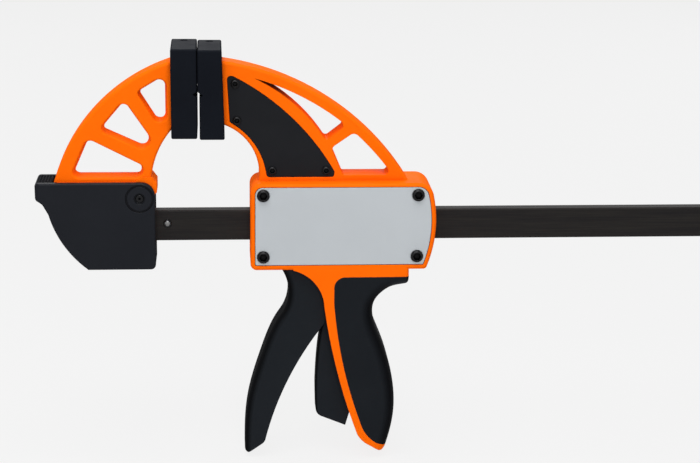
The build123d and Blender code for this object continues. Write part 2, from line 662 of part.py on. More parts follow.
def handle_outline():
    """Whole handle, seen from the side: cheeks, soft grip and the flange under the body."""
    toe = (90.0, -124.0)
    beak = (FLANGE_END + 0.5, -11.2)
    return BELOW * region(
        ThreePointArc((27.3, 0), (40.8, -8.2), (47.6, -25.2)),
        ThreePointArc((47.6, -25.2), (56.6, -70.5), (70.2, -114.3)),
        ThreePointArc((70.2, -114.3), (73.4, -118.7), (78.9, -122.6)),
        Line((78.9, -122.6), GRIP_TOE),
        Line(GRIP_TOE, toe),
        Spline(toe, (94.8, -98.5), (93.2, -76.7), (85.1, -49.3), (79.4, -31.5), (80.9, -22.5),
               (88.5, -14.8), beak, tangents=((0.3, 1), (1, 0.16))),
        Line(beak, (FLANGE_END, GRIP_ROOT)),
        Line((FLANGE_END, GRIP_ROOT), (27.3, GRIP_ROOT)),
        Line((27.3, GRIP_ROOT), (27.3, 0)))


def soft_region():
    """Part of the handle's side that the soft grip covers."""
    far = FLANGE_END + 20
    return BELOW * round_corners(region(
        Line((53.9, -FLANGE_DEPTH), (far, -FLANGE_DEPTH)),
        Line((far, -FLANGE_DEPTH), (far, -137.8)),
        Line((far, -137.8), (83.2, -120.9)),
        ThreePointArc((83.2, -120.9), (77.0, -115.5), (72.3, -106.5)),
        ThreePointArc((72.3, -106.5), (60.6, -66.5), (53.9, -22.5)),
        Line((53.9, -22.5), (53.9, -FLANGE_DEPTH))), [(53.9, -FLANGE_DEPTH, GRIP_CORNER)])


def grip_blank():
    """Handle below the body, with its back edges rounded."""
    solid = wide(handle_outline(), BODY_HALF_WIDTH)
    rim = (-BODY_HALF_WIDTH, BODY_HALF_WIDTH)
    low = BODY_BOTTOM - 120
    solid = fillet(edges_near(solid, rim, lambda c: c.X > RELEASE_X and low < c.Z < low + 90),
                   GRIP_ROUNDING)
    toe = corner_piece(handle_outline(), BODY_LEFT + GRIP_TOE[0], BODY_BOTTOM + GRIP_TOE[1],
                       GRIP_TOE_CORNER)
    solid -= wide(toe, BODY_HALF_WIDTH)
    beak = crosswise_edge(solid, BODY_LEFT + FLANGE_END + 0.5, BODY_BOTTOM - 11.2)
    return fillet(beak, GRIP_BEAK)


def core_outline():
    """Core of the grip under the soft cover."""
    handle = handle_outline()
    return handle & Pos(-SOFT_THICKNESS, 0) * handle & Pos(-SOFT_THICKNESS / 2, SOFT_THICKNESS) * handle


def channel_outline():
    """Space in the grip for the trigger and the release lever, open towards the jaws."""
    handle = handle_outline()
    space = Pos(-SOFT_THICKNESS - CORE_THICKNESS, 0) * handle + Pos(-20, 0) * handle
    return space & box_face(BODY_LEFT, RELEASE_X + 12, BODY_BOTTOM - CHANNEL_DEPTH, FLANGE_BOTTOM + 1)


def side_cavity():
    """Space inside the body, with bosses left for the screws and a rib for the drive spring."""
    cavity = box_face(CAVITY_LEFT, CAVITY_RIGHT, CAVITY_BOTTOM, CAVITY_TOP)
    cavity &= body_outline((4, 4, 5, 4), (3, 3, 3, 3))
    for x, z in screw_places():
        cavity -= disc(x, z, SCREW_RADIUS + SCREW_BOSS)
    return cavity - box_face(RIB_X, RIB_X + RIB_THICKNESS, CAVITY_BOTTOM, CAVITY_TOP)


def jaw_body():
    """Moulded moving jaw in one piece: arm, hollow body, flange and core of the grip."""
    rim = (-BODY_HALF_WIDTH, BODY_HALF_WIDTH)
    box = wide(body_outline(), BODY_HALF_WIDTH)
    box = fillet(edges_near(box, rim, lambda c: c.Z > BODY_BOTTOM + 1), BODY_EDGE)
    cheeks = grip_blank() - wide(soft_region(), BODY_HALF_WIDTH)
    solid = box + moving_arm() + moving_head(0) + cheeks + wide(core_outline(), CORE_HALF_WIDTH)

    cavity = side_cavity()
    rails = box_face(CAVITY_LEFT, CAVITY_RIGHT, RAIL_BOTTOM, CAVITY_TOP)
    solid -= wide(cavity, RAIL_INNER)
    solid -= wide(cavity - rails, RECESS_FLOOR)

    bar_way = box_face(BODY_LEFT - 1, BODY_RIGHT + 1, BAR_BOTTOM - BAR_FIT, BAR_TOP + BAR_FIT)
    lever_way = box_face(TRIGGER_X - EYE_RADIUS, RELEASE_X + 12, FLANGE_BOTTOM - 3, CAVITY_BOTTOM + 1)
    solid -= wide(bar_way, BAR_THICKNESS / 2 + BAR_FIT)
    solid -= wide(lever_way, CHANNEL_HALF_WIDTH)
    solid -= wide(channel_outline(), CHANNEL_HALF_WIDTH)

    seat = body_outline([inset - PLATE_GAP for inset in PLATE_INSETS], PLATE_CORNERS)
    arm_seat = arm_plate_outline(PLATE_GAP)
    for side in (-1, 1):
        solid -= slab(seat, side * RECESS_FLOOR, side * (BODY_HALF_WIDTH + 1))
        solid -= slab(arm_seat, side * SEAT_FLOOR, side * (ARM_HALF_WIDTH + 1))
        for x, z in screw_places():
            solid -= across(x, z, SCREW_RADIUS + SCREW_FIT, side * BODY_HALF_WIDTH,
                            side * (RECESS_FLOOR - SCREW_LENGTH + 1))
        for x, z in arm_screw_places():
            solid -= across(x, z, ARM_SCREW_RADIUS + SCREW_FIT, side * ARM_HALF_WIDTH,
                            side * (SEAT_FLOOR - ARM_SCREW_LENGTH + 1))
    for x in (TRIGGER_X, RELEASE_X):
        solid -= across(x, PIVOT_Z, PIVOT_PIN_RADIUS + SCREW_FIT, -RECESS_FLOOR, RECESS_FLOOR)
    return solid


def soft_grip():
    """Soft cover moulded over the core of the grip."""
    solid = grip_blank() & wide(soft_region(), BODY_HALF_WIDTH)
    return solid - wide(core_outline(), CORE_HALF_WIDTH)


# ---------------------------------------------------------------- plates and screws
def side_plate(side):
    """Grey plate that closes one side of the body."""
    face = side * BODY_HALF_WIDTH
    solid = slab(body_outline(PLATE_INSETS, PLATE_CORNERS), side * RECESS_FLOOR, face)
    solid = fillet(edges_near(solid, (face,), lambda c: True), 0.4)
    for x, z in screw_places():
        solid -= across(x, z, SCREW_RADIUS + 2 * SCREW_FIT, -BODY_HALF_WIDTH, BODY_HALF_WIDTH)
    return solid


def arm_plate(side):
    """Black steel plate let into one side of the moving arm."""
    solid = slab(arm_plate_outline(), side * SEAT_FLOOR, side * (SEAT_FLOOR + ARM_PLATE_THICKNESS))
    for x, z in arm_screw_places():
        solid -= across(x, z, ARM_SCREW_RADIUS + 2 * SCREW_FIT, -ARM_HALF_WIDTH, ARM_HALF_WIDTH)
    return solid


def button_screw(head_radius, head_height, radius, length, socket):
    """Button head screw with a hexagon socket, head up along Z, seat at Z = 0."""
    shoulder = (head_radius, head_height * 0.35)
    crown = (head_radius * 0.68, head_height)
    profile = region(
        Line((0, -length), (radius, -length)),
        Line((radius, -length), (radius, 0)),
        Line((radius, 0), (head_radius, 0)),
        Line((head_radius, 0), shoulder),
        ThreePointArc(shoulder, (head_radius * 0.9, head_height * 0.8), crown),
        Line(crown, (0, head_height)),
        Line((0, head_height), (0, -length)))
    screw = revolve(Plane.XZ * profile, Axis.Z)
    hexagon = RegularPolygon(socket, 6, major_radius=False)
    return screw - extrude(Pos(0, 0, head_height * 0.15) * hexagon, amount=head_height)


def screws(side, places, seat, sizes):
    """Group of equal screws on one side of the clamp."""
    one = button_screw(*sizes)
    turned = Rot(-90 * side, 0, 0)
    return [Pos(x, side * seat, z) * turned * one for x, z in places]


def plate_screws(side):
    """Four screws of one side plate."""
    sizes = (SCREW_HEAD_RADIUS, SCREW_HEAD_HEIGHT, SCREW_RADIUS, SCREW_LENGTH, SCREW_SOCKET)
    return screws(side, screw_places(), BODY_HALF_WIDTH, sizes)


def arm_screws(side):
    """Four screws of one arm plate."""
    sizes = (ARM_SCREW_HEAD_RADIUS, ARM_SCREW_HEAD_HEIGHT, ARM_SCREW_RADIUS, ARM_SCREW_LENGTH,
             ARM_SCREW_SOCKET)
    return screws(side, arm_screw_places(), SEAT_FLOOR + ARM_PLATE_THICKNESS, sizes)


# ---------------------------------------------------------------- trigger
def trigger_outline():
    """Finger part of the trigger, seen from the side."""
    hump = ThreePointArc((16.7, 2.5), (24.6, -15.5), (19.3, -33.7))
    end = hump % 1
    return BELOW * region(
        Line((33.0, 2.5), (16.7, 2.5)),
        hump,
        Spline((19.3, -33.7), (7.2, -60.7), (-1.4, -91.5), (-3.8, -124.0),
               tangents=((end.X, end.Y), (0.0, -1.0))),
        Line((-3.8, -124.0), TRIGGER_TOE),
        Line(TRIGGER_TOE, (7.3, -122.5)),
        ThreePointArc((7.3, -122.5), (9.0, -120.8), (10.0, -118.1)),
        ThreePointArc((10.0, -118.1), (24.6, -76.7), (46.8, -39.7)),
        ThreePointArc((46.8, -39.7), (48.6, -35.8), (48.4, -30.5)),
        ThreePointArc((48.4, -30.5), (44.6, -14.0), (33.0, -1.0)),
        Line((33.0, -1.0), (33.0, 2.5)))


def trigger():
    """Trigger: forked at the top to pass the bar, channel-shaped below."""
    rim = (-TRIGGER_HALF_WIDTH, TRIGGER_HALF_WIDTH)
    outline = trigger_outline()
    solid = wide(outline, TRIGGER_HALF_WIDTH)
    middle = BODY_BOTTOM - 60
    solid = fillet(edges_near(solid, rim, lambda c: c.X < TRIGGER_X and abs(c.Z - middle) < 50),
                   TRIGGER_EDGE)
    toe = corner_piece(outline, BODY_LEFT + TRIGGER_TOE[0], BODY_BOTTOM + TRIGGER_TOE[1], TRIGGER_TIP)
    solid -= wide(toe, TRIGGER_HALF_WIDTH)
    hollow = Pos(TRIGGER_WEB, TRIGGER_WEB * 0.5) * outline + Pos(TRIGGER_WEB + 12, 8) * outline
    hollow &= box_face(0, RELEASE_X, BODY_BOTTOM - 150, BODY_BOTTOM - 0.5)
    solid -= wide(hollow, TRIGGER_HALF_WIDTH - TRIGGER_WALL)

    left = TRIGGER_X - EYE_RADIUS
    right = TRIGGER_X + EYE_RADIUS
    step = NOSE_Z - NOSE_RADIUS
    low = BODY_BOTTOM + 1
    fork = straight((left, PIVOT_Z), (right, PIVOT_Z), (right, step), (right + 3, step - 3.3),
                    (right + 8.5, low), (left + 3.9, low), (left, step + 4.5))
    fork += disc(TRIGGER_X, PIVOT_Z, EYE_RADIUS)
    solid += wide(fork, TRIGGER_HALF_WIDTH)
    gap = box_face(left - 1, right + 5, NOSE_Z + NOSE_RADIUS, PIVOT_Z + EYE_RADIUS + 1)
    solid -= wide(gap, BAR_THICKNESS / 2 + 0.6)
    nose = disc(NOSE_X, NOSE_Z, NOSE_RADIUS) + box_face(
        left + 3, NOSE_X, NOSE_Z - NOSE_RADIUS, NOSE_Z + NOSE_RADIUS)
    solid += wide(nose, DRIVE_PLATE_HALF_WIDTH)
    return solid - across(TRIGGER_X, PIVOT_Z, PIVOT_PIN_RADIUS + PIVOT_FIT, *rim)


def pivot_pin(x):
    """Plain steel pin that a lever turns on, held in the rails of the body."""
    half = RECESS_FLOOR - 0.2
    pin = across(x, PIVOT_Z, PIVOT_PIN_RADIUS, -half, half)
    return chamfer(edges_near(pin, (-half, half), lambda c: True), 0.4)


# ---------------------------------------------------------------- release lever and brake
def release_outline():
    """Blade of the release lever, seen from the side."""
    left = RELEASE_INSET - EYE_RADIUS
    right = RELEASE_INSET + EYE_RADIUS
    return BELOW * round_corners(region(
        Line((left, 11.5), (left, 3.5)),
        Spline((left, 3.5), (59.0, -9.0), (49.8, -29.5), (44.6, -53.5), (42.8, -80.5),
               (43.0, -94.0), tangents=((-0.6, -0.8), (0.03, -1.0))),
        Line((43.0, -94.0), (43.3, -104.0)),
        Line((43.3, -104.0), (62.8, -112.1)),
        Line((62.8, -112.1), (66.6, -98.5)),
        Spline((66.6, -98.5), (60.4, -74.5), (58.0, -50.5), (63.0, -25.5), (right, -1.5),
               tangents=((-0.35, 0.94), (0.64, 0.77))),
        Line((right, -1.5), (right, 11.5)),
        Line((right, 11.5), (left, 11.5))), [(43.3, -104.0, RELEASE_TOE)])


def tilted(shape):
    """Shape turned from upright to the brake plate's resting tilt."""
    return Pos(RELEASE_X, 0, PIVOT_Z) * Rot(0, BRAKE_TILT, 0) * Pos(-RELEASE_X, 0, -PIVOT_Z) * shape


def brake_blank(grow=0.0):
    """Brake plate seen edge on, upright."""
    half = BRAKE_THICKNESS / 2 + grow
    top = PIVOT_Z - PIVOT_PIN_RADIUS - 0.6 + grow
    return box_face(RELEASE_X - half, RELEASE_X + half, BAR_BOTTOM - BRAKE_BELOW_BAR - grow, top)


def brake_plate():
    """Hardened plate that grips the bar when it tilts and frees it when upright."""
    tilt = math.radians(BRAKE_TILT)
    edge = BRAKE_THICKNESS / 2 * math.sin(tilt) + BRAKE_SLACK
    slot_top = (PIVOT_ABOVE_BAR - edge) / math.cos(tilt)
    slot_bottom = (PIVOT_ABOVE_BAR + BAR_HEIGHT + edge) / math.cos(tilt)
    slot = box_face(RELEASE_X - BRAKE_THICKNESS, RELEASE_X + BRAKE_THICKNESS,
                    PIVOT_Z - slot_bottom, PIVOT_Z - slot_top)
    plate = wide(brake_blank(), BRAKE_HALF_WIDTH) - wide(slot, BAR_THICKNESS / 2 + BAR_FIT)
    return tilted(plate)


def release_lever():
    """Release lever: two arms past the bar carry the brake plate, one blade for the finger."""
    rim = (-RELEASE_HALF_WIDTH, RELEASE_HALF_WIDTH)
    blade = wide(release_outline(), RELEASE_HALF_WIDTH)
    middle = BODY_BOTTOM - 55
    blade = fillet(edges_near(blade, rim, lambda c: c.X < RELEASE_X - 20 and abs(c.Z - middle) < 45),
                   RELEASE_EDGE)
    inner = BRAKE_HALF_WIDTH + RELEASE_ARM_GAP
    arm = box_face(RELEASE_X - EYE_RADIUS, RELEASE_X + EYE_RADIUS, BODY_BOTTOM + 3.5, PIVOT_Z)
    arm += disc(RELEASE_X, PIVOT_Z, EYE_RADIUS)
    solid = blade + wide(arm, TRIGGER_HALF_WIDTH)
    room = box_face(RELEASE_X - 2 * EYE_RADIUS, RELEASE_X + 2 * EYE_RADIUS, BAR_BOTTOM - 4.5,
                    PIVOT_Z + 2 * EYE_RADIUS)
    solid -= wide(room, inner)
    solid -= tilted(wide(brake_blank(RELEASE_ARM_GAP), inner))
    return solid - across(RELEASE_X, PIVOT_Z, PIVOT_PIN_RADIUS + PIVOT_FIT,
                          -TRIGGER_HALF_WIDTH, TRIGGER_HALF_WIDTH)


# ---------------------------------------------------------------- drive plates and springs
def drive_plate(x):
    """Hardened drive plate that hangs on the bar and is pushed by the trigger's nose."""
    blank = box_face(x, x + DRIVE_PLATE_THICKNESS, BAR_BOTTOM - DRIVE_PLATE_BELOW,
                     BAR_TOP + DRIVE_PLATE_ABOVE)
    plate = wide(blank, DRIVE_PLATE_HALF_WIDTH)
    plate = fillet(plate.edges().filter_by(Axis.X), 2.0)
    slot = box_face(x - 1, x + DRIVE_PLATE_THICKNESS + 1, BAR_BOTTOM - BAR_FIT, BAR_TOP + BAR_FIT)
    return plate - wide(slot, BAR_THICKNESS / 2 + BAR_FIT)


def bar_spring(left, right):
    """Compression spring wound round the bar between two places along it."""
    seat = SPRING_WIRE + SPRING_SEAT
    length = right - left - 2 * seat
    path = Helix(length / SPRING_TURNS, length, SPRING_RADIUS)
    return Pos(left + seat, 0, BAR_MIDDLE) * Rot(0, 90, 0) * wire_along(path, SPRING_WIRE)


# ---------------------------------------------------------------- pieces
def pieces():
    """Every separate piece of the clamp, by name."""
    return {
        "bar": bar(),
        "fixed_jaw_stop_pin": stop_pin(LEFT_PIN_X),
        "end_stop_pin": stop_pin(RIGHT_PIN_X),
        "fixed_jaw": fixed_jaw(),
        "fixed_jaw_pad": fixed_pad(),
        "lock_lever": lock_lever(),
        "lock_lever_pin": lock_pin(),
        "lock_spring": lock_spring(),
        "moving_jaw_body": jaw_body(),
        "moving_jaw_pad": moving_pad(),
        "front_side_plate": side_plate(-1),
        "rear_side_plate": side_plate(1),
        "front_plate_screws": plate_screws(-1),
        "rear_plate_screws": plate_screws(1),
        "front_arm_plate": arm_plate(-1),
        "rear_arm_plate": arm_plate(1),
        "front_arm_screws": arm_screws(-1),
        "rear_arm_screws": arm_screws(1),
        "soft_grip": soft_grip(),
        "trigger": trigger(),
        "trigger_pivot_pin": pivot_pin(TRIGGER_X),
        "release_lever": release_lever(),
        "release_pivot_pin": pivot_pin(RELEASE_X),
        "brake_plate": brake_plate(),
        "drive_plate_front": drive_plate(FIRST_PLATE_X),
        "drive_plate_rear": drive_plate(SECOND_PLATE_X),
        "drive_spring": bar_spring(SECOND_PLATE_X + DRIVE_PLATE_THICKNESS, RIB_X),
        "brake_spring": bar_spring(RELEASE_X + EYE_RADIUS, CAVITY_RIGHT),
    }


def main():
    """Write one STEP file for each piece."""
    os.makedirs("parts", exist_ok=True)
    for name, shape in pieces().items():
        solids = shape if isinstance(shape, (list, tuple)) else shape.solids()
        whole = solids[0] if len(solids) == 1 else Compound(children=list(solids))
        export_step(whole, f"parts/{name}.step")


main()
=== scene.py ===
import json
import math

import bpy
from mathutils import Matrix, Vector

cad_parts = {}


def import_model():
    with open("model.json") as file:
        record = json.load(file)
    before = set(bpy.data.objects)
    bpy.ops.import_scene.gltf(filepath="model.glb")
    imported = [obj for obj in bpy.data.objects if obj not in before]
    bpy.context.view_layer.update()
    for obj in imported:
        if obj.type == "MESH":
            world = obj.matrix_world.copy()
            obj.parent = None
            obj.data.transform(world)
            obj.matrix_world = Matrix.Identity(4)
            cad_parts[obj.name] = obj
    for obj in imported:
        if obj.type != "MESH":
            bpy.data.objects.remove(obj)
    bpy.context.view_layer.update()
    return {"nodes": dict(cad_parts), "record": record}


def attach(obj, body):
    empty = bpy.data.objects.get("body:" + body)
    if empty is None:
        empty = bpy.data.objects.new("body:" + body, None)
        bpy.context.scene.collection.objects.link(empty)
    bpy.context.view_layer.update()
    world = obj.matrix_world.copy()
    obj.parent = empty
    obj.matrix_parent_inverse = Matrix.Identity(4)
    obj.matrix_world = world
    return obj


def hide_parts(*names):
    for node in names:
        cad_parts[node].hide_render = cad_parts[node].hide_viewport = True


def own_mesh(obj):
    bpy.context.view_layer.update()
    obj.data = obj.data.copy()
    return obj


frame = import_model()

# ------------------------------------------------------------------ sizes, in metres
FLOOR_Z = -0.2475               # just under the tip of the trigger
FLOOR_SIZE = 30.0

# coil springs that shorten: node, the joint that presses it, its travel and its fixed end along x, in mm
PRESSED_SPRINGS = (
    ("drive_spring", "drive_slide", 9.8, 97.9),
    ("brake_spring", "release_pull", 2.7, 142.9),
)

# camera, fitted to the plate screws, the pads and the bar
CAMERA_PLACE = (0.01307, -1.0618, 0.2252)
CAMERA_YAW = math.radians(4.557)
CAMERA_PITCH = math.radians(16.708)
CAMERA_ROLL = math.radians(-0.895)
CAMERA_LENS = 88.21             # mm
CAMERA_SENSOR = 36.0            # mm wide
CAMERA_CLIP = (0.05, 50.0)

# background, as linear greys
WORLD_GREY = 0.896              # the world that lights the object
WORLD_STRENGTH = 0.20
FLOOR_GREY = 0.6                # of the light that falls on the floor, what it gives back
FLOOR_SHOWN = 0.925             # what the camera and the reflections see of the floor
FLOOR_SHOWN_SHARE = 0.9         # the rest of the floor keeps the object's shadow
SKY_SHOWN = 0.82                # what the camera and the reflections see past the floor's far edge

# square lamps, all facing one point: name, place, side in metres, watts
LAMPS_FACE = (0.08, 0, -0.08)
LAMPS = (
    ("top_light", (-0.1, -0.4, 1.35), 1.1, 21.0),
    ("key_light", (0.03, -1.7, 0.65), 0.9, 16.7),
    ("back_light", (0.1, 1.7, 0.9), 1.4, 3.0),
    ("rear_left_light", (-1.35, 1.3, 0.45), 0.9, 11.0),
    ("rear_right_light", (1.5, 1.3, 0.45), 0.9, 11.0),
)

# shared by the materials
SHADER_SAMPLES = 6              # of the bevel and ambient occlusion nodes
NOISE_SPAN = (0.3, 0.7)         # where most of a noise's values lie
FLANK_SPAN = (0.1, 0.65)        # along-the-bar part of the normal, from a flat to a turned rounding
FLANK_ROUGH = 0.85              # roundings are at least this rough


def linear(red, green, blue):
    """Linear colour of an 8-bit screen colour."""
    values = []
    for channel in (red, green, blue):
        share = channel / 255
        values.append(share / 12.92 if share <= 0.04045 else ((share + 0.055) / 1.055) ** 2.4)
    return (*values, 1.0)


def grey(value):
    """Linear grey as a colour."""
    return (value, value, value, 1)


# ------------------------------------------------------------------ material kit
class Nodes:
    """Small helper that builds one material's node tree."""

    def __init__(self, name):
        self.material = bpy.data.materials.new(name)
        self.material.use_nodes = True
        self.tree = self.material.node_tree
        self.tree.nodes.clear()
        self.output = self.add("ShaderNodeOutputMaterial")
        self.shader = self.add("ShaderNodeBsdfPrincipled")
        self.link(self.shader.outputs["BSDF"], self.output.inputs["Surface"])
        coordinates = self.add("ShaderNodeTexCoord")
        self.place = coordinates.outputs["Object"]
        self.facing = coordinates.outputs["Normal"]

    def add(self, kind, **settings):
        """New node with its settings."""
        node = self.tree.nodes.new(kind)
        for key, value in settings.items():
            setattr(node, key, value)
        return node

    def link(self, source, target):
        """Join two sockets."""
        self.tree.links.new(source, target)

    def feed(self, name, source):
        """Join a socket to one of the shader's own."""
        self.link(source, self.shader.inputs[name])

    def set(self, **values):
        """Plain values on the shader's own sockets."""
        for key, value in values.items():
            self.shader.inputs[key.replace("_", " ")].default_value = value

    def stretched(self, scale):
        """Object coordinates, scaled on each axis."""
        mapping = self.add("ShaderNodeMapping")
        mapping.inputs["Scale"].default_value = scale
        self.link(self.place, mapping.inputs["Vector"])
        return mapping.outputs["Vector"]

    def noise(self, size, detail=3.0, roughness=0.55, stretch=(1, 1, 1)):
        """Noise whose blobs are about this many metres across."""
        node = self.add("ShaderNodeTexNoise")
        node.inputs["Scale"].default_value = 1 / size
        node.inputs["Detail"].default_value = detail
        node.inputs["Roughness"].default_value = roughness
        self.link(self.stretched(stretch), node.inputs["Vector"])
        return node.outputs["Fac"]

    def span(self, value, low, high, out_low, out_high):
        """A value moved from one span to another."""
        node = self.add("ShaderNodeMapRange")
        for key, number in zip(("From Min", "From Max", "To Min", "To Max"),
                               (low, high, out_low, out_high)):
            node.inputs[key].default_value = number
        self.link(value, node.inputs["Value"])
        return node.outputs["Result"]

    def spread(self, noise, out_low, out_high):
        """A noise moved to run between two values."""
        return self.span(noise, *NOISE_SPAN, out_low, out_high)

    def mix(self, factor, first, second):
        """Two colours mixed, each of them a colour or a socket."""
        node = self.add("ShaderNodeMix", data_type="RGBA")
        for socket, value in ((node.inputs[0], factor), (node.inputs[6], first),
                              (node.inputs[7], second)):
            if isinstance(value, tuple):
                socket.default_value = value
            else:
                self.link(value, socket)
        return node.outputs[2]

    def bump(self, height, strength, distance, below):
        """Bump from a height, laid over another normal."""
        node = self.add("ShaderNodeBump")
        node.inputs["Strength"].default_value = strength
        node.inputs["Distance"].default_value = distance
        self.link(height, node.inputs["Height"])
        self.link(below, node.inputs["Normal"])
        return node.outputs["Normal"]

    def soft_edges(self, radius):
        """Normal that rounds every edge by this radius."""
        node = self.add("ShaderNodeBevel", samples=SHADER_SAMPLES)
        node.inputs["Radius"].default_value = radius
        return node.outputs["Normal"]

    def crevice(self, reach, low, high, most):
        """How deep a place lies in a corner or gap, from 0 in the open to the most."""
        node = self.add("ShaderNodeAmbientOcclusion", samples=SHADER_SAMPLES)
        node.inputs["Distance"].default_value = reach
        return self.span(node.outputs["AO"], low, high, most, 0.0)

    def flank(self):
        """How far a surface looks along the bar: 0 on the flats, 1 where a rounding has turned."""
        apart = self.add("ShaderNodeSeparateXYZ")
        self.link(self.facing, apart.inputs["Vector"])
        size = self.add("ShaderNodeMath", operation="ABSOLUTE")
        self.link(apart.outputs["X"], size.inputs[0])
        return self.span(size.outputs[0], *FLANK_SPAN, 0.0, 1.0)


# ------------------------------------------------------------------ materials
def moulded(name, colour, deep, rough, grain, gloss, edge=0.0006, tint=0.5, painted_rounding_shade=None,
            shade=linear(5, 5, 7), reach=0.0016, open_from=0.9):
    """Moulded plastic: faint flow marks, a fine spark-eroded grain, soft edges, painted shade in crevices
    and, if given a colour for it, on the roundings.
    """
    kit = Nodes(name)
    kit.set(Specular_IOR_Level=gloss)
    cloud = kit.noise(0.030, detail=4.0)
    speck = kit.noise(0.0009, detail=2.0)
    base = kit.mix(kit.spread(cloud, 0.0, tint), colour, deep)
    base = kit.mix(kit.span(speck, 0.35, 0.65, 0.0, 0.18), base, deep)
    # painted shade: roundings that turn along the bar are darkened towards this colour
    if painted_rounding_shade is not None:
        base = kit.mix(kit.flank(), base, painted_rounding_shade)
    # painted shade: corners, gaps and crevices are darkened in the base colour by ambient occlusion
    base = kit.mix(kit.crevice(reach, open_from / 3, open_from, 0.9), base, shade)
    kit.feed("Base Color", base)
    matt = kit.add("ShaderNodeMath", operation="ADD")
    kit.link(kit.spread(kit.noise(0.012, detail=5.0), -0.05, 0.06), matt.inputs[0])
    kit.link(kit.span(kit.flank(), 0.0, 1.0, rough, FLANK_ROUGH), matt.inputs[1])
    kit.feed("Roughness", matt.outputs[0])
    fine = kit.bump(kit.noise(0.00035, detail=2.0), grain, 0.00006, kit.soft_edges(edge))
    kit.feed("Normal", kit.bump(kit.noise(0.009, detail=2.0), 0.05, 0.0004, fine))
    return kit


def orange_plastic():
    """Glass-filled orange nylon of the jaws."""
    # painted shade: a dark red-brown in the window corners, in gaps and next to the pads
    kit = moulded("orange_nylon", linear(254, 108, 6), linear(248, 99, 4), rough=0.42, grain=0.25,
                  gloss=0.02, shade=linear(90, 12, 0), reach=0.007, open_from=0.60)
    return kit.material


def black_plastic():
    """Black nylon of the trigger and the release lever, with painted shade darkening the roundings."""
    kit = moulded("black_nylon", linear(31, 34, 38), linear(26, 29, 33), rough=0.40, grain=0.35,
                  gloss=0.025, painted_rounding_shade=linear(12, 13, 15))
    return kit.material


def lever_plastic():
    """Black nylon of the lock lever, evenly textured all round."""
    kit = moulded("lever_nylon", linear(27, 29, 34), linear(22, 24, 29), rough=0.34, grain=0.35,
                  gloss=0.08)
    return kit.material


def pad_rubber():
    """Hard dark rubber of the pads."""
    kit = moulded("pad_rubber", linear(20, 23, 29), linear(16, 18, 24), rough=0.50, grain=0.6,
                  gloss=0.02, tint=0.8)
    return kit.material


def soft_grip_rubber():
    """Soft grip, smooth and a little sheeny, with painted shade darkening its rounded back."""
    kit = moulded("soft_grip_rubber", linear(28, 31, 35), linear(23, 25, 29), rough=0.44, grain=0.5,
                  gloss=0.025, edge=0.0008, painted_rounding_shade=linear(9, 10, 13))
    kit.set(Sheen_Weight=0.03, Sheen_Roughness=0.4)
    return kit.material


def grey_paint():
    """Satin grey paint on the side plates, with faint orange peel."""
    kit = Nodes("grey_satin_paint")
    kit.set(Specular_IOR_Level=0.25)
    base = kit.mix(kit.spread(kit.noise(0.045), 0.0, 1.0), linear(183, 188, 192), linear(179, 184, 188))
    # painted shade: the plate is darkened next to its gaps and screw heads
    base = kit.mix(kit.crevice(0.0008, 0.3, 0.8, 0.8), base, linear(60, 62, 64))
    kit.feed("Base Color", base)
    kit.feed("Roughness", kit.spread(kit.noise(0.006, detail=4.0), 0.40, 0.48))
    kit.feed("Normal", kit.bump(kit.noise(0.0014, detail=2.0), 0.12, 0.00008, kit.soft_edges(0.0004)))
    return kit.material


def black_sheet():
    """Black powder coat on the arm plates."""
    kit = Nodes("black_powder_coat")
    kit.set(Specular_IOR_Level=0.07)
    base = kit.mix(kit.spread(kit.noise(0.03), 0.0, 1.0), linear(26, 27, 30), linear(22, 23, 26))
    # painted shade: the plate is darkened to near black next to its gaps and screw heads
    base = kit.mix(kit.crevice(0.0012, 0.3, 0.9, 0.9), base, linear(4, 4, 5))
    kit.feed("Base Color", base)
    kit.feed("Roughness", kit.spread(kit.noise(0.01), 0.46, 0.56))
    kit.feed("Normal", kit.bump(kit.noise(0.0005, detail=2.0), 0.3, 0.00006, kit.soft_edges(0.0003)))
    return kit.material


def blued_bar():
    """Blackened steel bar with drawing marks along its length."""
    kit = Nodes("blackened_steel")
    kit.set(Metallic=0.12, Specular_IOR_Level=0.05)
    streak = kit.noise(0.0006, detail=4.0, roughness=0.6, stretch=(0.02, 1, 1))
    broad = kit.noise(0.004, roughness=0.6, stretch=(0.05, 1, 1))
    base = kit.mix(kit.span(streak, 0.35, 0.65, 0.0, 1.0), linear(33, 31, 31), linear(41, 39, 37))
    base = kit.mix(kit.span(broad, 0.4, 0.7, 0.0, 0.6), base, linear(27, 26, 28))
    kit.feed("Base Color", base)
    kit.feed("Roughness", kit.spread(broad, 0.38, 0.52))
    kit.feed("Normal", kit.bump(streak, 0.12, 0.00005, kit.soft_edges(0.0004)))
    return kit.material


def steel(name, light, dark, rough, metallic=1.0):
    """Bare or oxidised steel with a fine turned finish, and painted shade making it black down in its
    sockets.
    """
    kit = Nodes(name)
    mark = kit.noise(0.0012, detail=4.0, roughness=0.6, stretch=(1, 1, 3))
    # painted shade: sockets and hollows turn black and fully metallic
    hollow = kit.crevice(0.006, 0.55, 0.93, 1.0)
    kit.feed("Base Color", kit.mix(hollow, kit.mix(kit.spread(mark, 0, 1), light, dark), linear(1, 1, 1)))
    kit.feed("Metallic", kit.span(hollow, 0.0, 1.0, metallic, 1.0))
    kit.feed("Roughness", kit.spread(mark, rough - 0.06, rough + 0.08))
    kit.feed("Normal", kit.bump(mark, 0.08, 0.00004, kit.soft_edges(0.0002)))
    return kit.material


